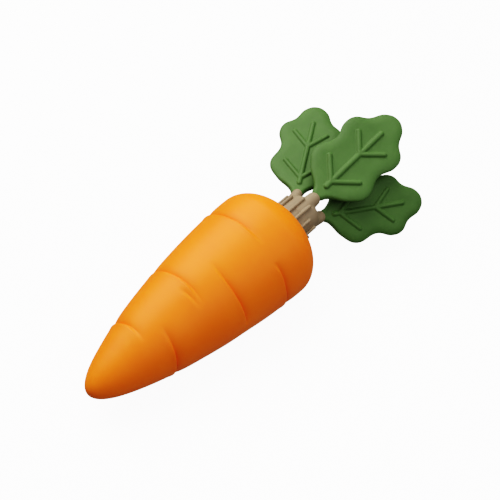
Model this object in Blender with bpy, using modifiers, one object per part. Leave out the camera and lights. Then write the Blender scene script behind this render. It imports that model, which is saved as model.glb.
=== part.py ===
"""A stylised carrot lying on its side: a creased root, its crown of cut stalks and three lobed leaves.

Everything is first placed in the carrot's own frame, whose +Z runs up the root's axis from the tip to
the crown, whose +Y points to the side that the leaves face, and whose +X spreads across the leaves.
The empty "resting_frame" then lays that frame down on the ground. Metres, +Z up.
"""

from math import acos, atan2, cos, pi, radians, sin, sqrt

import bmesh
import bpy
from mathutils import Matrix, Vector

# Root
ROOT_LENGTH = 0.150
ROOT_RADIUS = 0.0324
SHOULDER_HEIGHT = 0.0196  # from the widest station up to the domed top
TAPER_POWER = 1.42  # 1 is a straight taper; above 1 the sides swell
BLUNT_POWER = 0.512  # 0.5 is a round tip
BODY_ROWS = 20
ROW_CROWDING = 1.7  # above 1 the rows crowd together towards the tip
SHOULDER_ROWS = 6
ROOT_SIDES = 48
BALANCE_STATION = 0.0993  # the underside that lies below the whole carrot's centre of mass
REST_FLAT_DEPTH = 0.0004  # how far the underside is flattened where the carrot rests
REST_FLAT_BLOCK = (0.080, 0.030, 0.004)  # the block that cuts the flat

# The dimple in the shoulder, where the crown sits
RIM_RADIUS = 0.0150
RIM_DROP = 0.0004  # from the rim to the first corner inside it
RIM_CORNER = 0.0006  # how far that corner lies outside the seat's wall
WALL_DROP = 0.0016  # from the rim to the top of the seat's wall
SEAT_RADIUS = 0.0125
SEAT_FLOOR = 0.1405
FIT_GAP = 0.0003

# Creases: (station from the tip, first angle, last angle) in metres and degrees
CREASES = [
    (0.0351, -12, 84),
    (0.0443, 86, 200),
    (0.0698, -2, 98),
    (0.0862, 68, 150),
    (0.1146, -6, 88),
    (0.1146, 115, 186),
    (0.0600, 212, 300),
    (0.0960, 224, 326),
    (0.1270, 232, 312),
]
CREASE_TUBE = 0.0014
CREASE_DEPTH = 0.0008
CREASE_FADE = 4  # a higher power keeps a crease deep for longer before it fades
CREASE_EXIT = 1.6  # depths that the cutting tube rises at its ends, so above 1 it leaves the root
CREASE_STEP = 8  # degrees

# Crown
CROWN_RADIUS = 0.0120
CROWN_TAPER = 0.0005  # how much slimmer it is at the top
CROWN_CORNER = 0.0030
CROWN_CORNER_STEPS = 4
CROWN_FOOT = SEAT_FLOOR + FIT_GAP
CROWN_WAIST = 0.1465  # the crown is straight below this station and tapers above it
CROWN_TOP = 0.1668
CROWN_SIDES = 36
RIB_COUNT = 12
RIB_RADIUS = 0.0011
RIB_SINK = 0.0004  # how far a rib's centre line lies inside the crown's side
RIB_SIDES = 8
RIB_FOOT = 0.1470
RIB_TOP = 0.1612  # the ribs that face out to the sides
RIB_RISE = 0.0045  # how much higher the ribs below the middle stalk reach
STALK_RADIUS = 0.0036
STALK_SIDES = 16
STALK_ROOT = 0.0120  # how far each stalk runs back into the crown

# Leaf pattern, on a leaf 70 mm long: points (along, across) of one side
PATTERN_LENGTH = 0.070
LEAF_HEEL = -0.0022
LEAF_SIDE = [
    (0.0002, 0.0031),
    (0.0034, 0.0048),
    (0.0108, 0.0138),
    (0.0200, 0.0197),
    (0.0353, 0.0161),
    (0.0456, 0.0189),
    (0.0524, 0.0175),
    (0.0580, 0.0115),
    (0.0672, 0.0062),
]
LEAF_THICKNESS = 0.0044
LEAF_EDGE_STEPS = 3
LEAF_EDGE_FLAT = 0.02  # share of the thickness left as a flat band round the edge
OUTLINE_STEPS = 5  # between two points of the outline
TONGUE_RADIUS = 0.0021
TONGUE_LENGTH = 0.0055  # how far a leaf's tongue runs back into its stalk
TONGUE_SIDES = 12
VEIN_RADIUS = 0.0013
VEIN_HEIGHT = 0.0017  # of a vein's centre line above the middle of the leaf
MIDRIB = (0.0077, 0.0548)
SIDE_VEINS = [((0.0115, 0.0003), (0.0230, 0.0111)), ((0.0358, 0.0003), (0.0462, 0.0096))]
VEIN_STAGGER = 0.0004  # between the two sides' starts on the midrib
VEIN_SIDES = 10

# Where each leaf leaves the crown (spread, front, station), how it points (fan across, lift towards the
# front, twist about its midrib, in degrees), its length, and how far past the leaf's neck the middle of
# its stalk's round end is
LEAVES = {
    "leaf_left": ((0.0098, -0.0015, 0.1692), (29.6, -9.8, -21.0), 0.0689, 0.0006),
    "leaf_centre": ((0.0015, 0.0076, 0.1724), (2.9, 5.8, -5.4), 0.0732, -0.0024),
    "leaf_right": ((-0.0083, -0.0012, 0.1718), (-28.2, 1.6, 16.1), 0.0657, -0.0012),
}
SPREAD_ROLL = 31  # degrees that the leaves' spread is rolled up from level, on the left


# Scene helpers


def clear_scene():
    for leftover in list(bpy.data.objects):
        bpy.data.objects.remove(leftover, do_unlink=True)


def new_collection(name):
    collection = bpy.data.collections.new(name)
    bpy.context.scene.collection.children.link(collection)
    return collection


def plain_material(name, colour, roughness):
    material = bpy.data.materials.new(name)
    material.use_nodes = True
    shader = material.node_tree.nodes["Principled BSDF"]
    shader.inputs["Base Color"].default_value = (*colour, 1)
    shader.inputs["Roughness"].default_value = roughness
    shader.inputs["Metallic"].default_value = 0
    return material


def new_object(name, data, collection):
    made = bpy.data.objects.new(name, data)
    collection.objects.link(made)
    return made


def object_from_bmesh(name, shape, collection):
    for face in shape.faces:
        face.smooth = True
    mesh = bpy.data.meshes.new(name)
    shape.to_mesh(mesh)
    shape.free()
    return new_object(name, mesh, collection)


def as_cutter(helper):
    """Helpers are left out of renders and drawn as wires."""
    helper.hide_render = True
    helper.display_type = "WIRE"
    return helper


def solid_from_curve(curve_object, collection):
    """Replaces a curve object by a closed mesh object of the same name."""
    bpy.context.view_layer.update()
    graph = bpy.context.evaluated_depsgraph_get()
    mesh = bpy.data.meshes.new_from_object(curve_object.evaluated_get(graph))
    shape = bmesh.new()
    shape.from_mesh(mesh)
    bmesh.ops.remove_doubles(shape, verts=shape.verts, dist=0.000001)
    bmesh.ops.recalc_face_normals(shape, faces=shape.faces)
    name = curve_object.name
    bpy.data.objects.remove(curve_object, do_unlink=True)
    return object_from_bmesh(name, shape, collection)


def turned_solid(name, profile, sides, collection):
    """A solid turned about +Z from (radius, station) points, which run from its top to its bottom."""
    shape = bmesh.new()
    verts = [shape.verts.new((radius, 0, station)) for radius, station in profile]
    for upper, lower in zip(verts, verts[1:]):
        shape.edges.new((upper, lower))
    solid = object_from_bmesh(name, shape, collection)
    screw = solid.modifiers.new("turned profile", "SCREW")
    screw.axis = "Z"
    screw.angle = 2 * pi
    screw.steps = sides
    screw.render_steps = sides
    screw.use_merge_vertices = True
    screw.merge_threshold = 0.00001
    screw.use_smooth_shade = True
    return solid


def boolean(target, tool, operation):
    modifier = target.modifiers.new(f"{operation.lower()} {tool.name}", "BOOLEAN")
    modifier.operation = operation
    modifier.object = tool
    modifier.solver = "EXACT"


def tube(name, points, radius, collection):
    """A closed tube along points, made from a curve."""
    curve = bpy.data.curves.new(name, "CURVE")
    curve.dimensions = "3D"
    curve.bevel_depth = radius
    curve.bevel_resolution = 2
    curve.use_fill_caps = True
    spline = curve.splines.new("POLY")
    spline.points.add(len(points) - 1)
    for spot, point in zip(spline.points, points):
        spot.co = (*point, 1)
    return solid_from_curve(new_object(name, curve, collection), collection)


def capsule(name, start, end, radius, sides, collection):
    """A rod with round ends, whose end spheres are centred on start and end."""
    start, end = Vector(start), Vector(end)
    shape = bmesh.new()
    bmesh.ops.create_uvsphere(shape, u_segments=sides, v_segments=sides // 2, radius=radius)
    upper = [vert for vert in shape.verts if vert.co.z > radius * 0.01]
    bmesh.ops.translate(shape, verts=upper, vec=Vector((0, 0, (end - start).length)))
    rod = object_from_bmesh(name, shape, collection)
    turn = Vector((0, 0, 1)).rotation_difference(end - start)
    rod.matrix_basis = Matrix.Translation(start) @ turn.to_matrix().to_4x4()
    return as_cutter(rod)


# Lying on the ground


def resting_turn():
    """From the carrot's own frame to one that lies along +X, with the root's underside level."""
    span = 0.004
    low, high = BALANCE_STATION - span, BALANCE_STATION + span
    pitch = atan2(root_radius(high) - root_radius(low), high - low)
    tilt = Matrix.Rotation(pi / 2 - pitch, 4, "Y")
    return tilt @ Matrix.Rotation(radians(90 + SPREAD_ROLL), 4, "Z")


def lay_down(frame, parts, cutters):
    """Lays the carrot's frame along +X, with everything in it, centred over the origin and on the ground."""
    for piece in [*parts.objects, *cutters.objects]:
        if piece is not frame:
            piece.parent = frame
    frame.matrix_basis = resting_turn()
    bpy.context.view_layer.update()
    graph = bpy.context.evaluated_depsgraph_get()
    corners = []
    for piece in parts.objects:
        if piece.type == "MESH":
            solid = piece.evaluated_get(graph)
            corners += [solid.matrix_world @ vert.co for vert in solid.data.vertices]
    low = [min(corner[axis] for corner in corners) for axis in range(3)]
    high = [max(corner[axis] for corner in corners) for axis in range(3)]
    frame.location = (-(low[0] + high[0]) / 2, -(low[1] + high[1]) / 2, -low[2])


# Root


def root_radius(station):
    """The root's radius at a distance from its tip: a swelling taper, then an elliptical dome."""
    widest = ROOT_LENGTH - SHOULDER_HEIGHT
    if station <= widest:
        return ROOT_RADIUS * (1 - (1 - station / widest) ** TAPER_POWER) ** BLUNT_POWER
    return ROOT_RADIUS * sqrt(1 - ((station - widest) / SHOULDER_HEIGHT) ** 2)


def root_profile():
    """(radius, station) points from the middle of the crown's seat, over the shoulder, down to the tip."""
    widest = ROOT_LENGTH - SHOULDER_HEIGHT
    rim_angle = acos(RIM_RADIUS / ROOT_RADIUS)
    rim_station = widest + SHOULDER_HEIGHT * sin(rim_angle)
    points = [(0, SEAT_FLOOR), (SEAT_RADIUS, SEAT_FLOOR), (SEAT_RADIUS, rim_station - WALL_DROP)]
    points.append((SEAT_RADIUS + RIM_CORNER, rim_station - RIM_DROP))
    for row in range(SHOULDER_ROWS):
        angle = rim_angle * (1 - row / SHOULDER_ROWS)
        points.append((ROOT_RADIUS * cos(angle), widest + SHOULDER_HEIGHT * sin(angle)))
    for row in range(BODY_ROWS, -1, -1):
        station = widest * (row / BODY_ROWS) ** ROW_CROWDING
        points.append((root_radius(station), station))
    return points


def crease_cutter(number, station, first, last, cutters):
    """A bent tube that bites deepest halfway round its crease and leaves the root at both ends."""
    points = []
    steps = round((last - first) / CREASE_STEP)
    for step in range(steps + 1):
        share = step / steps
        angle = radians(first + (last - first) * share)
        rise = CREASE_EXIT * CREASE_DEPTH * (2 * share - 1) ** CREASE_FADE
        reach = root_radius(station) + CREASE_TUBE - CREASE_DEPTH + rise
        points.append((reach * cos(angle), reach * sin(angle), station))
    return as_cutter(tube(f"crease_{number}", points, CREASE_TUBE, cutters))


def flat_cutter(cutters):
    """A block whose level top face cuts the flat that the root rests on."""
    shape = bmesh.new()
    bmesh.ops.create_cube(shape, size=1)
    bmesh.ops.scale(shape, verts=shape.verts, vec=REST_FLAT_BLOCK)
    block = object_from_bmesh("rest_flat", shape, cutters)
    turn = resting_turn()
    down = turn.inverted().to_3x3() @ Vector((0, 0, -1))
    outwards = Vector((down.x, down.y, 0)).normalized()
    lowest = turn @ (outwards * root_radius(BALANCE_STATION) + Vector((0, 0, BALANCE_STATION)))
    level = lowest + Vector((0, 0, REST_FLAT_DEPTH - REST_FLAT_BLOCK[2] / 2))
    block.matrix_basis = turn.inverted() @ Matrix.Translation(level)
    return as_cutter(block)


def make_root(parts, cutters, material):
    root = turned_solid("taproot", root_profile(), ROOT_SIDES, parts)
    for number, (station, first, last) in enumerate(CREASES, 1):
        boolean(root, crease_cutter(number, station, first, last, cutters), "DIFFERENCE")
    boolean(root, flat_cutter(cutters), "DIFFERENCE")
    root.data.materials.append(material)


# Leaves


def leaf_matrix(name):
    """From a leaf's own frame (+X along the midrib, +Z out of its face) to the carrot's frame."""
    neck, (fan, lift, twist), _, _ = LEAVES[name]
    upright = Matrix(((0, 1, 0), (0, 0, 1), (1, 0, 0))).to_4x4()
    turned = Matrix.Rotation(radians(fan), 4, "Y") @ Matrix.Rotation(radians(-lift), 4, "X")
    twisted = Matrix.Rotation(radians(twist), 4, "X")
    return Matrix.Translation(neck) @ turned @ upright @ twisted


def leaf_size(name):
    """How large a leaf is beside the pattern."""
    return LEAVES[name][2] / PATTERN_LENGTH


def blade(name, leaf_name, growth, collection):
    """A leaf's closed blade with rounded edges. growth thickens it all round."""
    size = leaf_size(leaf_name)
    edge = LEAF_THICKNESS / 2 + growth
    curve = bpy.data.curves.new(name, "CURVE")
    curve.dimensions = "2D"
    curve.fill_mode = "BOTH"
    curve.bevel_depth = edge * (1 - LEAF_EDGE_FLAT)
    curve.extrude = edge * LEAF_EDGE_FLAT
    curve.offset = growth - curve.bevel_depth
    curve.bevel_resolution = LEAF_EDGE_STEPS - 1
    curve.resolution_u = OUTLINE_STEPS
    outline = [(LEAF_HEEL, 0), *LEAF_SIDE, (PATTERN_LENGTH, 0)]
    outline += [(along, -across) for along, across in reversed(LEAF_SIDE)]
    spline = curve.splines.new("BEZIER")
    spline.use_cyclic_u = True
    spline.bezier_points.add(len(outline) - 1)
    for knot, (along, across) in zip(spline.bezier_points, outline):
        knot.co = (along * size, across * size, 0)
        knot.handle_left_type = "AUTO"
        knot.handle_right_type = "AUTO"
    solid = solid_from_curve(new_object(name, curve, collection), collection)
    solid.matrix_basis = leaf_matrix(leaf_name)
    return solid


def tongue(name, leaf_name, growth, cutters):
    """The round tongue at a leaf's heel, or with growth the hole that takes it."""
    inner, outer = (-TONGUE_LENGTH, 0, 0), (TONGUE_LENGTH, 0, 0)
    rod = capsule(name, inner, outer, TONGUE_RADIUS + growth, TONGUE_SIDES, cutters)
    rod.matrix_basis = leaf_matrix(leaf_name) @ rod.matrix_basis
    return rod


def make_leaf(name, parts, cutters, material):
    leaf = blade(name, name, 0, parts)
    boolean(leaf, tongue(f"{name}_tongue", name, 0, cutters), "UNION")
    veins = [((MIDRIB[0], 0), (MIDRIB[1], 0))]
    for start, end in SIDE_VEINS:
        veins.append((start, end))
        veins.append(((start[0] + VEIN_STAGGER, -start[1]), (end[0], -end[1])))
    size = leaf_size(name)
    for number, (start, end) in enumerate(veins, 1):
        low, high = Vector((*start, VEIN_HEIGHT)) * size, Vector((*end, VEIN_HEIGHT)) * size
        vein = capsule(f"{name}_vein_{number}", low, high, VEIN_RADIUS * size, VEIN_SIDES, cutters)
        vein.matrix_basis = leaf_matrix(name) @ vein.matrix_basis
        boolean(leaf, vein, "UNION")
    leaf.data.materials.append(material)


# Crown


def stalk_ends(name):
    """Where a leaf's stalk begins inside the crown and where its round end is centred."""
    neck, (fan, lift, _), _, past_neck = LEAVES[name]
    heading = Matrix.Rotation(radians(fan / 2), 3, "Y") @ Matrix.Rotation(radians(-lift / 2), 3, "X")
    along = heading @ Vector((0, 0, 1))
    end = Vector(neck) + along * past_neck
    return end - along * STALK_ROOT, end


def crown_profile():
    """(radius, station) points from the middle of the crown's top down to its foot."""
    points = [(0, CROWN_TOP)]
    for step in range(CROWN_CORNER_STEPS + 1):
        angle = pi / 2 * (1 - step / CROWN_CORNER_STEPS)
        radius = CROWN_RADIUS - CROWN_TAPER - CROWN_CORNER * (1 - cos(angle))
        points.append((radius, CROWN_TOP - CROWN_CORNER * (1 - sin(angle))))
    return points + [(CROWN_RADIUS, CROWN_WAIST), (CROWN_RADIUS, CROWN_FOOT), (0, CROWN_FOOT)]


def make_crown(parts, cutters, material):
    crown = turned_solid("crown", crown_profile(), CROWN_SIDES, parts)
    for number in range(RIB_COUNT):
        angle = 2 * pi * number / RIB_COUNT
        foot = Vector((cos(angle), sin(angle), 0)) * (CROWN_RADIUS - RIB_SINK)
        foot.z = RIB_FOOT
        top = foot.copy()
        top.z = RIB_TOP + RIB_RISE * max(0, sin(angle)) ** 2
        boolean(crown, capsule(f"rib_{number + 1}", foot, top, RIB_RADIUS, RIB_SIDES, cutters), "UNION")
    for name in LEAVES:
        stalk = capsule(f"{name}_stalk", *stalk_ends(name), STALK_RADIUS, STALK_SIDES, cutters)
        boolean(crown, stalk, "UNION")
    for name in LEAVES:
        boolean(crown, as_cutter(blade(f"{name}_socket", name, FIT_GAP, cutters)), "DIFFERENCE")
        boolean(crown, tongue(f"{name}_hole", name, FIT_GAP, cutters), "DIFFERENCE")
    crown.data.materials.append(material)


clear_scene()
carrot = new_collection("carrot")
carrot_cutters = new_collection("carrot_cutters")
resting_frame = new_object("resting_frame", None, carrot)
make_root(carrot, carrot_cutters, plain_material("orange root", (0.80, 0.24, 0.02), 0.45))
make_crown(carrot, carrot_cutters, plain_material("dry stalk", (0.35, 0.26, 0.16), 0.6))
green = plain_material("green leaf", (0.10, 0.24, 0.06), 0.5)
for leaf_name in LEAVES:
    make_leaf(leaf_name, carrot, carrot_cutters, green)
lay_down(resting_frame, carrot, carrot_cutters)
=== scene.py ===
from math import atan2, cos, exp, hypot, pi, radians, sin, sqrt

import bmesh
import bpy
from mathutils import Matrix, Vector
from mathutils.kdtree import KDTree


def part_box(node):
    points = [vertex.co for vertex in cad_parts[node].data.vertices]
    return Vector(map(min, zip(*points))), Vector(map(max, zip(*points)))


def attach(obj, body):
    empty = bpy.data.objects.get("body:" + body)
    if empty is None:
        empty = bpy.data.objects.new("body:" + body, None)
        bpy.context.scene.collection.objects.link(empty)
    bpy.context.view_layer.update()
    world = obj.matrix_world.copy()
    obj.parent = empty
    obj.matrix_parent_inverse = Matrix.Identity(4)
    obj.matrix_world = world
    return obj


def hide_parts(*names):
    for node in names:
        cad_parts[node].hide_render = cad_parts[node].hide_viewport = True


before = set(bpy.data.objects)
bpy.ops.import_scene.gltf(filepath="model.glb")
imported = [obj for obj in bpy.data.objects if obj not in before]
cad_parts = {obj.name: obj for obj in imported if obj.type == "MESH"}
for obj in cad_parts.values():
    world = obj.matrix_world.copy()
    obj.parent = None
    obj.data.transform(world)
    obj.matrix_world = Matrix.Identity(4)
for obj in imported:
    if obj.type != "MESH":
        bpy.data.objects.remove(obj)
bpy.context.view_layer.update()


# Camera.
# A short telephoto that looks down at the carrot from beyond its tip, so the root comes towards it.

camera_azimuth = -47.08
camera_elevation = 42.49
camera_distance = 0.6481
camera_target = Vector((0.00118, -0.00331, 0.0330))
camera_lens = 85.0

lens = bpy.data.cameras.new("camera")
lens.lens = camera_lens
lens.sensor_width = 36.0
lens.clip_start = 0.01
lens.clip_end = 20.0
camera = bpy.data.objects.new("camera", lens)
bpy.context.scene.collection.objects.link(camera)
across = radians(camera_azimuth)
upwards = radians(camera_elevation)
backwards = Vector((sin(across) * cos(upwards), -cos(across) * cos(upwards), sin(upwards)))
camera.location = camera_target + backwards * camera_distance
camera.rotation_mode = "QUATERNION"
camera.rotation_quaternion = (-backwards).to_track_quat("-Z", "Y")
bpy.context.scene.camera = camera

# The film is contrasty, and its tone curve lifts only the brightest values, so that the pale floor comes
# out white. The curve's range is widened first, so that it holds them.
lifted_tones = [(0.3, 0.3), (0.6, 0.62), (0.9, 1.02), (1.2, 1.60), (1.5, 3.1)]
brightest_tone = (2.0, 8.0)

film = bpy.context.scene.view_settings
film.view_transform = "Filmic"
film.look = "Very High Contrast"
film.use_curve_mapping = True
film.curve_mapping.clip_max_x = 2.5
film.curve_mapping.clip_max_y = 10.0
tone_curve = film.curve_mapping.curves[3]
tone_curve.points[-1].location = brightest_tone
for tone, lifted_tone in lifted_tones:
    tone_curve.points.new(tone, lifted_tone)
film.curve_mapping.update()


# Taproot.
# The plump orange root: solid flesh under a smooth skin, widest at the shoulder, with shallow creases
# where it stopped and started growing. It lies on a slightly flattened underside.

root_length = 0.150
root_radius = 0.0324
shoulder_height = 0.0196
taper_power = 1.42
blunt_power = 0.512
widest_station = root_length - shoulder_height
rim_radius = 0.0150
rim_rounding = 0.0020
dimple_radius = 0.0124
dimple_floor = 0.1405
spread_roll = 31.0  # how far the lying carrot is rolled about its own axis, in degrees
rest_station = 0.0993  # where it rests, under its balance point
rest_flat = 0.0004  # how deep the flattened underside is

# Growth swells: (station, how much fuller than the plain taper, how much fuller still on the +X side).
# A station is a distance from the tip along the root.
swells = [
    (0.000, 0.0001, 0.0000),
    (0.008, -0.0001, 0.0000),
    (0.021, -0.0003, 0.0000),
    (0.033, -0.0001, 0.0001),
    (0.046, 0.0001, 0.0001),
    (0.060, 0.0002, 0.0002),
    (0.076, 0.0004, 0.0002),
    (0.090, 0.0004, 0.0003),
    (0.104, 0.0005, 0.0002),
    (0.118, 0.0004, 0.0002),
    (0.126, 0.0002, 0.0001),
    (0.134, 0.0000, 0.0000),
    (0.150, 0.0000, 0.0000),
]

# Creases: keys of (angle round the root, station, depth), in degrees and metres. Each one is steep on the
# side towards the tip and rises slowly towards the crown.
creases = [
    [(-34, 0.0338, 0.0), (-6, 0.0340, 0.0012), (30, 0.0350, 0.0011), (62, 0.0352, 0.0006), (90, 0.0345, 0.0)],
    [
        (86, 0.0456, 0.0), (112, 0.0445, 0.0006), (146, 0.0432, 0.0011), (186, 0.0424, 0.0011),
        (226, 0.0420, 0.0),
    ],
    [(-30, 0.0692, 0.0), (4, 0.0694, 0.0006), (44, 0.0698, 0.0010), (74, 0.0700, 0.0008), (100, 0.0690, 0.0)],
    [(66, 0.0655, 0.0), (82, 0.0661, 0.0005), (104, 0.0666, 0.0)],
    [
        (70, 0.0870, 0.0), (96, 0.0856, 0.0008), (128, 0.0860, 0.0012), (140, 0.0863, 0.0010),
        (158, 0.0866, 0.0),
    ],
    [(-36, 0.1160, 0.0), (-4, 0.1156, 0.0014), (24, 0.1144, 0.0014), (62, 0.1145, 0.0010), (92, 0.1148, 0.0)],
    [
        (112, 0.1138, 0.0), (126, 0.1144, 0.0009), (150, 0.1148, 0.0011), (182, 0.1166, 0.0011),
        (214, 0.1170, 0.0),
    ],
    [(212, 0.0600, 0.0), (240, 0.0604, 0.0008), (268, 0.0602, 0.0008), (302, 0.0596, 0.0)],
    [(222, 0.0950, 0.0), (256, 0.0960, 0.0009), (296, 0.0962, 0.0008), (330, 0.0952, 0.0)],
    [(230, 0.1262, 0.0), (258, 0.1272, 0.0007), (284, 0.1270, 0.0007), (314, 0.1262, 0.0)],
]
crease_strength = 1.25  # multiplies every depth above
full_crease = 0.0011  # from this depth on, a crease has its narrowest lip and its full painted shade
crease_slope = 0.0022  # how slowly it rises towards the crown
crease_lip = 0.0011  # width of the steep side where the crease is deep
crease_soft_lip = 0.0030  # and where it runs out
lip_bulge = 0.12  # swelling beyond the lip, as a share of the depth
bulge_place = 1.5  # its middle, in widths of the lip
bulge_width = 1.2
# Painted shade along each crease line: how slowly it fades towards the crown and towards the tip.
crease_shade_towards_crown = 0.0018  # how slowly the painted crease shade fades towards the crown
crease_shade_towards_tip = 0.0003
crease_start = -0.012  # a crease has no effect before or after these distances from its line
crease_end = 0.022

root_sides = 240
rim_steps = 12
dome_steps = 40
fine_row = 0.00027  # spacing of the rows of points near a crease
plain_row = 0.0009  # and elsewhere
fine_reach = 0.0026  # how far from a crease the rows are fine
first_row = 0.00015
tip_row = 0.00025  # the spacing starts from this at the tip
tip_row_growth = 0.25  # and grows by this share of the station
weld_distance = 0.0000005
skin_share = 0.9  # points further in than this share of the radius are the dimple's
creased_top = 0.146
tip_fade = 0.006  # below this radius swells and creases fade out towards the tip


def plain_radius(station):
    """The plain turned shape: a swelling taper, then an elliptical dome."""
    if station <= widest_station:
        along = max(0.0, station / widest_station)
        return root_radius * (1 - (1 - along) ** taper_power) ** blunt_power
    return root_radius * sqrt(max(0.0, 1 - ((station - widest_station) / shoulder_height) ** 2))


def along_keys(keys, at, column):
    """The value at one place on a smooth curve through a column of the keys."""
    if at <= keys[0][0]:
        return keys[0][column]
    if at >= keys[-1][0]:
        return keys[-1][column]
    last = next(number for number, key in enumerate(keys) if key[0] > at)
    (low, start), (high, end) = [(keys[number][0], keys[number][column]) for number in (last - 1, last)]
    before = keys[max(last - 2, 0)]
    after = keys[min(last + 1, len(keys) - 1)]
    share = (at - low) / (high - low)
    start_slope = (end - before[column]) / max(high - before[0], 1e-9) * (high - low)
    end_slope = (after[column] - start) / max(after[0] - low, 1e-9) * (high - low)
    square, cube = share**2, share**3
    rising = start * (2 * cube - 3 * square + 1) + end * (3 * square - 2 * cube)
    return rising + start_slope * (cube - 2 * square + share) + end_slope * (cube - square)


def crease_at(station, angle):
    """How deep the skin lies at a point, and how much painted shade it gets along the line of a crease."""
    sunk, line = 0.0, 0.0
    for keys in creases:
        turned = (angle - keys[0][0]) % 360 + keys[0][0]
        if turned >= keys[-1][0]:
            continue
        past = station - along_keys(keys, turned, 1)
        if not crease_start < past < crease_end:
            continue
        depth = max(0.0, along_keys(keys, turned, 2)) * crease_strength
        weak = max(0.0, 1 - depth / full_crease)
        lip = crease_lip + (crease_soft_lip - crease_lip) * weak
        if past >= 0:
            sunk += depth * exp(-past / crease_slope)
        else:
            climb = min(1.0, -past / lip)
            sunk += depth * (1 - climb * climb * (3 - 2 * climb))
            beyond = (-past - lip * bulge_place) / (lip * bulge_width)
            sunk -= depth * lip_bulge * exp(-(beyond**2)) * climb
        # Painted shade: the crease line gets a darker colour, strongest where the crease is deep, fading to
        # each side.
        faded = past / crease_shade_towards_crown if past > 0 else -past / crease_shade_towards_tip
        line += min(1.0, depth / full_crease) * exp(-faded)
    return sunk, line


def root_rows():
    """Stations from the tip to the widest place, close together across the creases."""
    stations, station = [0.0], first_row
    while station < widest_station - plain_row:
        stations.append(station)
        near = min(abs(station - key[1]) for keys in creases for key in keys)
        row = fine_row if near < fine_reach else plain_row
        station += min(row, tip_row + station * tip_row_growth)
    return stations + [widest_station]


def lying_matrix():
    """From the carrot's own frame (+Z from tip to crown, +Y out of the leaves' faces) to where it lies."""
    half_step, samples = 0.004, 2000
    slope = plain_radius(rest_station + half_step) - plain_radius(rest_station - half_step)
    pitch = atan2(slope, 2 * half_step)
    turn = Matrix.Rotation(pi / 2 - pitch, 4, "Y") @ Matrix.Rotation(radians(90 + spread_roll), 4, "Z")
    stations = [root_length * number / samples for number in range(samples + 1)]
    nearest = min(at * cos(pitch) - plain_radius(at) * sin(pitch) for at in stations)
    lowest = min(at * sin(pitch) - plain_radius(at) * cos(pitch) for at in stations)
    low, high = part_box("taproot")
    middle = (low[1] + high[1]) / 2
    return Matrix.Translation((low[0] - nearest, middle, -rest_flat - lowest)) @ turn


def finished_piece(name, shape, material):
    """A smooth-shaded piece that rides with the carrot, from a bmesh that is already in place."""
    mesh = bpy.data.meshes.new(name)
    for face in shape.faces:
        face.smooth = True
    shape.to_mesh(mesh)
    shape.free()
    piece = bpy.data.objects.new(name, mesh)
    bpy.context.scene.collection.objects.link(piece)
    mesh.materials.append(material)
    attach(piece, "root")
    return piece


class Finish:
    """A Principled material whose nodes are added one after another."""

    def __init__(self, name):
        self.material = bpy.data.materials.new(name)
        self.material.use_nodes = True
        self.tree = self.material.node_tree
        self.shader = self.tree.nodes["Principled BSDF"]
        self.coordinates = self.node("ShaderNodeTexCoord").outputs["Object"]

    def node(self, kind, **values):
        made = self.tree.nodes.new(kind)
        for key, value in values.items():
            setattr(made, key, value)
        return made

    def link(self, source, target):
        self.tree.links.new(source, target)

    def mapped(self, scale=(1, 1, 1)):
        mapping = self.node("ShaderNodeMapping")
        mapping.inputs["Scale"].default_value = scale
        self.link(self.coordinates, mapping.inputs["Vector"])
        return mapping.outputs["Vector"]

    def noise(self, vector, scale, detail, roughness=0.5):
        noise = self.node("ShaderNodeTexNoise")
        noise.inputs["Scale"].default_value = scale
        noise.inputs["Detail"].default_value = detail
        noise.inputs["Roughness"].default_value = roughness
        self.link(vector, noise.inputs["Vector"])
        return noise.outputs["Fac"]

    def ramp(self, source, stops):
        ramp = self.node("ShaderNodeValToRGB")
        elements = ramp.color_ramp.elements
        while len(elements) < len(stops):
            elements.new(0.5)
        for element, (place, colour) in zip(elements, stops):
            element.position = place
            element.color = (*colour, 1)
        self.link(source, ramp.inputs["Fac"])
        return ramp.outputs["Color"]

    def mixed(self, share, first, second):
        mix = self.node("ShaderNodeMix", data_type="RGBA")
        self.link(share, mix.inputs["Factor"])
        for socket, value in ((mix.inputs["A"], first), (mix.inputs["B"], second)):
            if isinstance(value, tuple):
                socket.default_value = (*value, 1)
            else:
                self.link(value, socket)
        return mix.outputs["Result"]

    def ranged(self, source, low, high):
        span = self.node("ShaderNodeMapRange")
        span.inputs["To Min"].default_value = low
        span.inputs["To Max"].default_value = high
        self.link(source, span.inputs["Value"])
        return span.outputs["Result"]

    def bumped(self, source, strength, distance, under=None):
        bump = self.node("ShaderNodeBump")
        bump.inputs["Strength"].default_value = strength
        bump.inputs["Distance"].default_value = distance
        self.link(source, bump.inputs["Height"])
        if under is not None:
            self.link(under, bump.inputs["Normal"])
        return bump.outputs["Normal"]

    def attribute(self, name):
        return self.node("ShaderNodeAttribute", attribute_name=name).outputs["Fac"]


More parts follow.
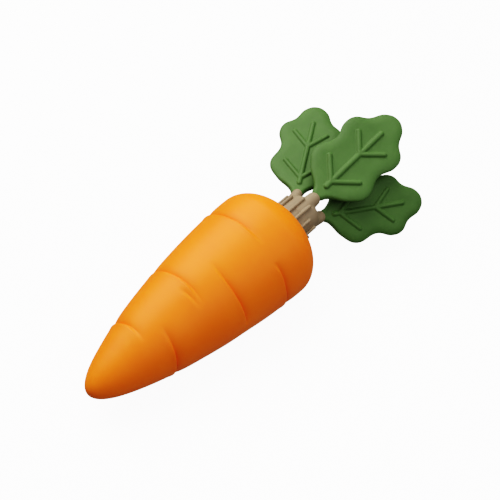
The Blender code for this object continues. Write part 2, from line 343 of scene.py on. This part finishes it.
def root_skin():
    """Satin orange skin: faint bands round the root, fine pores, and painted shade in the creases as a
    deeper, darker orange.
    """
    orange, light_orange = (0.88, 0.172, 0.009), (0.92, 0.194, 0.013)
    band_orange, crease_shade_orange = (0.95, 0.228, 0.022), (0.80, 0.115, 0.006)
    skin = Finish("carrot root skin")
    bands = skin.noise(skin.mapped((9, 1, 1)), scale=34, detail=3)
    clouds = skin.noise(skin.mapped(), scale=45, detail=3)
    clouded = skin.ramp(clouds, [(0.3, orange), (0.7, light_orange)])
    banded = skin.mixed(skin.ranged(bands, 0.0, 0.22), clouded, band_orange)
    # Painted shade: the creases are coloured a deeper, darker orange, where shade falls in them.
    crease_shaded = skin.mixed(skin.ranged(skin.attribute("crease"), 0.0, 0.34), banded, crease_shade_orange)
    skin.link(crease_shaded, skin.shader.inputs["Base Color"])
    pores = skin.noise(skin.mapped(), scale=1500, detail=2)
    skin.link(skin.ranged(clouds, 0.44, 0.54), skin.shader.inputs["Roughness"])
    rings = skin.bumped(bands, strength=0.10, distance=0.0004)
    bumps = skin.bumped(pores, strength=0.10, distance=0.00006, under=rings)
    skin.link(bumps, skin.shader.inputs["Normal"])
    skin.shader.inputs["Subsurface Weight"].default_value = 0.12
    skin.shader.inputs["Subsurface Radius"].default_value = (1.0, 0.30, 0.08)
    skin.shader.inputs["Subsurface Scale"].default_value = 0.004
    skin.shader.inputs["Specular IOR Level"].default_value = 0.28
    return skin.material


lying = lying_matrix()

# The profile: the dimple's floor, the rounded rim, the dome of the shoulder, then the taper to the tip.
profile = [(0.0, dimple_floor), (dimple_radius / 2, dimple_floor), (dimple_radius, dimple_floor)]
rim_rise = sqrt(1 - (rim_radius / root_radius) ** 2)
rim_station = widest_station + shoulder_height * rim_rise
dome_slope = atan2(shoulder_height * rim_radius, root_radius**2 * rim_rise)
round_radius = rim_radius - rim_rounding * sin(dome_slope)
round_station = rim_station - rim_rounding * cos(dome_slope)
for step in range(rim_steps + 1):
    angle = pi - (pi / 2 + dome_slope) * step / rim_steps
    profile.append((round_radius + rim_rounding * cos(angle), round_station + rim_rounding * sin(angle)))
rim_angle = atan2(rim_rise, rim_radius / root_radius)
for step in range(1, dome_steps):
    angle = rim_angle * (1 - step / dome_steps)
    profile.append((root_radius * cos(angle), widest_station + shoulder_height * sin(angle)))
for station in reversed(root_rows()):
    profile.append((plain_radius(station), station))

shape = bmesh.new()
points = [shape.verts.new((radius, 0, station)) for radius, station in profile]
edges = [shape.edges.new(pair) for pair in zip(points, points[1:])]
bmesh.ops.spin(
    shape, geom=points + edges, cent=(0, 0, 0), axis=(0, 0, 1), angle=2 * pi, steps=root_sides, use_merge=True
)
bmesh.ops.remove_doubles(shape, verts=shape.verts, dist=weld_distance)
bmesh.ops.recalc_face_normals(shape, faces=shape.faces)
# Painted shade: how much darker orange each point gets along a crease, where shade falls.
crease_shade_layer = shape.verts.layers.float.new("crease")
for vert in shape.verts:
    radius, station = hypot(vert.co.x, vert.co.y), vert.co.z
    if radius < skin_share * plain_radius(station) or station > creased_top:
        continue
    angle = atan2(vert.co.y, vert.co.x)
    sunk, line = crease_at(station, angle * 180 / pi)
    fuller = along_keys(swells, station, 1) + along_keys(swells, station, 2) * cos(angle)
    reach = max(0.0, radius + (fuller - sunk) * min(1.0, radius / tip_fade))
    vert.co.x, vert.co.y = reach * cos(angle), reach * sin(angle)
    vert[crease_shade_layer] = line
bmesh.ops.transform(shape, matrix=lying, verts=shape.verts)
for vert in shape.verts:
    vert.co.z = max(0.0, vert.co.z)
root = finished_piece("carrot_root", shape, root_skin())
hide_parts("taproot")


# Crown.
# The stubs of the leaf stalks in one dry taupe bundle, grown out of the root's dimple: three stalks
# that end in round sheaths, and thin ribs that run down their outside.

crown_radius = 0.0115
crown_taper = 0.0004
crown_foot = 0.1410
crown_top = 0.1668
crown_rounding = 0.0030
rib_radius = 0.0010
rib_foot = 0.1440
rib_out = 0.0123  # how far a rib's middle is from the bundle's
# Ribs round the bundle: (angle in degrees, station of the top)
ribs = [
    (-27, 0.1600), (2, 0.1636), (31, 0.1622), (66, 0.1642), (93, 0.1632), (121, 0.1583), (151, 0.1603),
    (186, 0.1570), (211, 0.1605), (238, 0.1600), (268, 0.1622), (299, 0.1606),
]
# Leaves: where the heel is in the carrot's frame, (fan, lift, twist) in degrees, length
leaf_places = {
    "left": ((0.0098, -0.0015, 0.1692), (29.6, -9.8, -21.0), 0.0689),
    "centre": ((0.0015, 0.0076, 0.1724), (2.9, 5.8, -5.4), 0.0732),
    "right": ((-0.0083, -0.0012, 0.1718), (-28.2, 1.6, 16.1), 0.0657),
}
# Stalks: how far the round end's middle is past the leaf's heel, its radius, how much wider the stalk starts
stalks = {
    "left": (0.0006, 0.0033, 0.0012),
    "centre": (-0.0026, 0.0041, 0.0011),
    "right": (-0.0014, 0.0037, 0.0019),
}
stalk_root = 0.0130  # length of a stalk inside the bundle
bundle_voxel = 0.00035
bundle_rounds = 18
rib_voxel = 0.00024
rib_rounds = 2
rod_sides = 24


def rod(start, end, radius, flare=0.0):
    """A rod with round ends centred on start and end, wider at its start by the flare."""
    start, end = Vector(start), Vector(end)
    shape = bmesh.new()
    bmesh.ops.create_uvsphere(shape, u_segments=rod_sides, v_segments=rod_sides // 2, radius=radius)
    halfway = radius * 0.01
    lower = [vert for vert in shape.verts if vert.co.z < halfway]
    upper = [vert for vert in shape.verts if vert.co.z > halfway]
    bmesh.ops.scale(shape, verts=lower, vec=Vector((1, 1, 1)) * (1 + flare / radius))
    bmesh.ops.translate(shape, verts=upper, vec=Vector((0, 0, (end - start).length)))
    turn = Vector((0, 0, 1)).rotation_difference(end - start).to_matrix().to_4x4()
    bmesh.ops.transform(shape, matrix=Matrix.Translation(start) @ turn, verts=shape.verts)
    return shape


def merged(shapes):
    """One bmesh that holds all the given ones, which are used up."""
    whole = bmesh.new()
    for shape in shapes:
        part = bpy.data.meshes.new("part")
        shape.to_mesh(part)
        shape.free()
        whole.from_mesh(part)
        bpy.data.meshes.remove(part)
    return whole


def fused(shape, voxel, rounds):
    """The outer skin of overlapping solids as one body, with its inner corners softened."""
    mesh = bpy.data.meshes.new("fusing")
    shape.to_mesh(mesh)
    shape.free()
    helper = bpy.data.objects.new("fusing", mesh)
    bpy.context.scene.collection.objects.link(helper)
    remesh = helper.modifiers.new("fuse", "REMESH")
    remesh.mode = "VOXEL"
    remesh.voxel_size = voxel
    smooth = helper.modifiers.new("soften", "SMOOTH")
    smooth.factor = 0.5
    smooth.iterations = rounds
    bpy.context.view_layer.update()
    graph = bpy.context.evaluated_depsgraph_get()
    solid = bpy.data.meshes.new_from_object(helper.evaluated_get(graph))
    made = bmesh.new()
    made.from_mesh(solid)
    bpy.data.objects.remove(helper, do_unlink=True)
    bpy.data.meshes.remove(mesh)
    bpy.data.meshes.remove(solid)
    return made


def stalk_rod(name):
    """A leaf's stalk, which leans half as far as the leaf."""
    heel, (fan, lift, _), _ = leaf_places[name]
    past_heel, radius, flare = stalks[name]
    heading = Matrix.Rotation(radians(fan / 2), 3, "Y") @ Matrix.Rotation(radians(-lift / 2), 3, "X")
    along = heading @ Vector((0, 0, 1))
    end = Vector(heel) + along * past_heel
    return rod(end - along * stalk_root, end, radius, flare)


def dry_stalk():
    """Matt taupe stalk with faint lengthwise fibres."""
    taupe, light_taupe, fibre_brown = (0.222, 0.172, 0.112), (0.260, 0.206, 0.140), (0.190, 0.145, 0.090)
    stalk = Finish("dry carrot stalk")
    fibres = stalk.noise(stalk.mapped((0.12, 1, 1)), scale=900, detail=4, roughness=0.6)
    clouds = stalk.noise(stalk.mapped(), scale=90, detail=2)
    clouded = stalk.ramp(clouds, [(0.3, taupe), (0.7, light_taupe)])
    fibrous = stalk.mixed(stalk.ranged(fibres, 0.0, 0.35), clouded, fibre_brown)
    stalk.link(fibrous, stalk.shader.inputs["Base Color"])
    stalk.link(stalk.ranged(fibres, 0.55, 0.70), stalk.shader.inputs["Roughness"])
    bumps = stalk.bumped(fibres, strength=0.25, distance=0.00012)
    stalk.link(bumps, stalk.shader.inputs["Normal"])
    stalk.shader.inputs["Specular IOR Level"].default_value = 0.35
    return stalk.material


middle_station = (crown_foot + crown_top) / 2
bundle = bmesh.new()
bmesh.ops.create_cone(
    bundle, cap_ends=True, segments=72, radius1=crown_radius, radius2=crown_radius - crown_taper,
    depth=crown_top - crown_foot, matrix=Matrix.Translation((0, 0, middle_station)),
)
top_edge = [edge for edge in bundle.edges if all(vert.co.z > middle_station for vert in edge.verts)]
bmesh.ops.bevel(
    bundle, geom=top_edge, offset=crown_rounding, offset_type="OFFSET", segments=6, profile=0.5,
    affect="EDGES", material=-1,
)
bundle = fused(merged([bundle] + [stalk_rod(name) for name in stalks]), bundle_voxel, bundle_rounds)
rib_rods = []
for angle, top in ribs:
    spot = Vector((cos(radians(angle)), sin(radians(angle)), 0)) * rib_out
    rib_rods.append(rod(spot + Vector((0, 0, rib_foot)), spot + Vector((0, 0, top - rib_radius)), rib_radius))
shape = fused(merged([bundle] + rib_rods), rib_voxel, rib_rounds)
bmesh.ops.transform(shape, matrix=lying, verts=shape.verts)
crown = finished_piece("carrot_crown", shape, dry_stalk())
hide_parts("crown")


# Leaves.
# Three thick lobed leaves, each one soft puffed blade with a rounded rim, a slightly dished face and
# raised round veins. Their narrow heels are held in the sheaths of the stalks.

# All leaves share one pattern, which is scaled to each leaf's length.
pattern_length = 0.070
leaf_heel = -0.0022
# One side of the outline from heel to tip: (along the midrib, out from it)
leaf_side = [
    (0.0002, 0.0031),
    (0.0034, 0.0048),
    (0.0108, 0.0138),
    (0.0200, 0.0197),
    (0.0353, 0.0161),
    (0.0456, 0.0189),
    (0.0524, 0.0175),
    (0.0580, 0.0115),
    (0.0672, 0.0062),
]
leaf_thickness = 0.0044
edge_rounding = 0.0060  # how far in from the edge the blade is still rounded
face_dish = 0.00008  # how much the middle of the face is sunk
dish_start = 0.8  # where the dish starts, as a share of the edge's rounding
dish_width = 0.006
dish_turn = 0.0012  # within this height of the leaf's middle plane the dish fades out
puff_start = 0.004  # the heel keeps its shape up to here
puff_length = 0.008
tongue_radius = 0.0021  # the round tongue that holds the heel in its stalk
tongue_length = 0.0055
vein_radius = 0.00160
vein_height = 0.00185  # height of a vein's middle above the leaf's
vein_colour_rise = 0.0005  # the height over which the veins' colour comes in
midrib = (0.0077, 0.0548)
side_veins = [((0.0115, 0.0), (0.0230, 0.0111)), ((0.0358, 0.0), (0.0462, 0.0096))]
leaf_voxel = 0.00028
leaf_rounds = 2
edge_band = 0.02  # share of the half thickness that stays straight at the edge
flat_enough = 0.0001  # points this close to the middle plane are on the outline
leaf_weld = 0.000001


def leaf_matrix(name):
    """From a leaf's own frame (+X along the midrib, +Z out of its face) to the carrot's frame."""
    heel, (fan, lift, twist), _ = leaf_places[name]
    upright = Matrix(((0, 1, 0), (0, 0, 1), (1, 0, 0))).to_4x4()
    turned = Matrix.Rotation(radians(fan), 4, "Y") @ Matrix.Rotation(radians(-lift), 4, "X")
    return Matrix.Translation(heel) @ turned @ upright @ Matrix.Rotation(radians(twist), 4, "X")


def leaf_blade(size):
    """A leaf's blade: its outline as a flat curve, given its thickness and a round edge by a bevel."""
    half = leaf_thickness / 2
    curve = bpy.data.curves.new("blade", "CURVE")
    curve.dimensions = "2D"
    curve.fill_mode = "BOTH"
    curve.resolution_u = 16
    curve.bevel_depth = half * (1 - edge_band)
    curve.extrude = half * edge_band
    curve.offset = -curve.bevel_depth
    curve.bevel_resolution = 6
    outline = [(leaf_heel, 0), *leaf_side, (pattern_length, 0)]
    outline += [(along, -out) for along, out in reversed(leaf_side)]
    spline = curve.splines.new("BEZIER")
    spline.use_cyclic_u = True
    spline.bezier_points.add(len(outline) - 1)
    for knot, (along, out) in zip(spline.bezier_points, outline):
        knot.co = (along * size, out * size, 0)
        knot.handle_left_type = "AUTO"
        knot.handle_right_type = "AUTO"
    helper = bpy.data.objects.new("blade", curve)
    bpy.context.scene.collection.objects.link(helper)
    bpy.context.view_layer.update()
    graph = bpy.context.evaluated_depsgraph_get()
    mesh = bpy.data.meshes.new_from_object(helper.evaluated_get(graph))
    shape = bmesh.new()
    shape.from_mesh(mesh)
    bpy.data.objects.remove(helper, do_unlink=True)
    bpy.data.meshes.remove(mesh)
    bmesh.ops.remove_doubles(shape, verts=shape.verts, dist=leaf_weld)
    bmesh.ops.recalc_face_normals(shape, faces=shape.faces)
    return shape


def edge_finder(shape):
    """A function that says how far a point is from the blade's outline, its edges at half thickness."""
    parts = 4
    spots = []
    for edge in shape.edges:
        one, two = edge.verts
        if abs(one.co.z) < flat_enough and abs(two.co.z) < flat_enough:
            spots += [one.co.lerp(two.co, part / parts) for part in range(parts + 1)]
    tree = KDTree(len(spots))
    for number, spot in enumerate(spots):
        tree.insert((spot.x, spot.y, 0), number)
    tree.balance()
    return lambda point: tree.find((point.x, point.y, 0))[2]


def leaf_skin():
    """Satin green leaf, softly mottled, a little lighter along the veins."""
    green, light_green = (0.058, 0.117, 0.032), (0.072, 0.138, 0.042)
    speck_green, vein_green = (0.083, 0.144, 0.054), (0.080, 0.148, 0.049)
    leaf = Finish("carrot leaf green")
    clouds = leaf.noise(leaf.mapped(), scale=75, detail=3)
    specks = leaf.noise(leaf.mapped(), scale=420, detail=3, roughness=0.6)
    clouded = leaf.ramp(clouds, [(0.3, green), (0.7, light_green)])
    speckled = leaf.mixed(leaf.ranged(specks, 0.0, 0.25), clouded, speck_green)
    veined = leaf.mixed(leaf.ranged(leaf.attribute("vein"), 0.0, 0.25), speckled, vein_green)
    leaf.link(veined, leaf.shader.inputs["Base Color"])
    leaf.link(leaf.ranged(clouds, 0.54, 0.64), leaf.shader.inputs["Roughness"])
    bumps = leaf.bumped(specks, strength=0.12, distance=0.00010)
    leaf.link(bumps, leaf.shader.inputs["Normal"])
    leaf.shader.inputs["Subsurface Weight"].default_value = 0.08
    leaf.shader.inputs["Subsurface Radius"].default_value = (0.5, 1.0, 0.3)
    leaf.shader.inputs["Subsurface Scale"].default_value = 0.002
    leaf.shader.inputs["Specular IOR Level"].default_value = 0.26
    return leaf.material


def make_leaf(name, material):
    """Blade, veins and tongue fused into one leaf, whose edge is then puffed and its face dished."""
    size = leaf_places[name][2] / pattern_length
    half = leaf_thickness / 2
    blade = leaf_blade(size)
    inside = edge_finder(blade)
    veins = [((midrib[0], 0), (midrib[1], 0))]
    for start, end in side_veins:
        veins += [(start, end), ((start[0], -start[1]), (end[0], -end[1]))]
    rods = []
    for start, end in veins:
        low, high = Vector((*start, vein_height)) * size, Vector((*end, vein_height)) * size
        rods.append(rod(low, high, vein_radius * size))
    rods.append(rod((-tongue_length, 0, 0), (tongue_length, 0, 0), tongue_radius))
    shape = fused(merged([blade] + rods), leaf_voxel, leaf_rounds)
    vein_layer = shape.verts.layers.float.new("vein")
    for vert in shape.verts:
        depth = inside(vert.co)
        vert[vein_layer] = min(1.0, max(0.0, (vert.co.z - half) / vein_colour_rise))
        if vert.co.x < puff_start * size:
            continue
        share = min(1.0, (vert.co.x / size - puff_start) / puff_length)
        if depth < edge_rounding:
            plain = sqrt(max(1e-6, 1 - (1 - min(1.0, depth / half)) ** 2))
            puffed = sqrt(max(1e-6, 1 - (1 - depth / edge_rounding) ** 2))
            vert.co.z *= 1 - share * (1 - min(1.0, puffed / plain))
        dish = min(1.0, max(0.0, (depth - edge_rounding * dish_start) / dish_width))
        side = min(1.0, max(-1.0, vert.co.z / dish_turn))
        vert.co.z -= share * side * face_dish * dish * dish * (3 - 2 * dish)
    bmesh.ops.transform(shape, matrix=lying @ leaf_matrix(name), verts=shape.verts)
    leaf = finished_piece(f"carrot_leaf_{name}", shape, material)
    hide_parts(f"leaf_{name}")


green_leaf = leaf_skin()
for leaf_name in leaf_places:
    make_leaf(leaf_name, green_leaf)


# Floor and light.
# A round pale floor and a wall behind it, which glow so that they come out white. The light is one large
# soft lamp high up behind the carrot, a weaker one in front of it, and a dim white surround.

floor_reach = 6.0
floor_sides = 96
floor_glow = 1.6
lamp_distance = 1.0
lamp_aim = Vector((0, 0, 0.03))
surround_strength = 0.22

pale = Finish("pale floor")
paper = pale.noise(pale.mapped(), scale=3, detail=2)
grey = pale.ramp(paper, [(0.3, (0.19, 0.19, 0.19)), (0.7, (0.21, 0.21, 0.21))])
pale.link(grey, pale.shader.inputs["Base Color"])
pale.shader.inputs["Roughness"].default_value = 0.9
pale.shader.inputs["Specular IOR Level"].default_value = 0.1
pale.shader.inputs["Emission Color"].default_value = (1, 1, 1, 1)
pale.shader.inputs["Emission Strength"].default_value = floor_glow


def staged(name, shape):
    """A plain surface round the carrot, seen by the camera but giving the carrot no light."""
    mesh = bpy.data.meshes.new(name)
    shape.to_mesh(mesh)
    shape.free()
    mesh.materials.append(pale.material)
    surface = bpy.data.objects.new(name, mesh)
    bpy.context.scene.collection.objects.link(surface)
    surface.visible_diffuse = False
    surface.visible_glossy = False
    return surface


floor_shape = bmesh.new()
bmesh.ops.create_circle(floor_shape, cap_ends=True, segments=floor_sides, radius=floor_reach)
staged("floor", floor_shape)
wall_shape = bmesh.new()
bmesh.ops.create_cone(
    wall_shape, cap_ends=False, segments=floor_sides,
    radius1=floor_reach, radius2=floor_reach, depth=2 * floor_reach,
)
staged("backdrop", wall_shape).visible_shadow = False


def soft_light(name, azimuth, elevation, size, power, colour=(1, 1, 1)):
    """A square soft lamp that faces the carrot, placed by the direction it shines from."""
    data = bpy.data.lights.new(name, "AREA")
    data.shape = "SQUARE"
    data.size = size
    data.energy = power
    data.color = colour
    light = bpy.data.objects.new(name, data)
    bpy.context.scene.collection.objects.link(light)
    turn, rise = radians(azimuth), radians(elevation)
    towards = Vector((sin(turn) * cos(rise), -cos(turn) * cos(rise), sin(rise)))
    light.location = towards * lamp_distance + lamp_aim
    light.rotation_mode = "QUATERNION"
    light.rotation_quaternion = (-towards).to_track_quat("-Z", "Y")


soft_light("key", azimuth=174, elevation=62, size=1.1, power=15.7, colour=(1.0, 0.98, 0.95))
soft_light("fill", azimuth=14, elevation=44, size=1.2, power=5.2)

world = bpy.data.worlds.new("studio")
bpy.context.scene.world = world
world.use_nodes = True
world.node_tree.nodes["Background"].inputs["Color"].default_value = (1, 1, 1, 1)
world.node_tree.nodes["Background"].inputs["Strength"].default_value = surround_strength
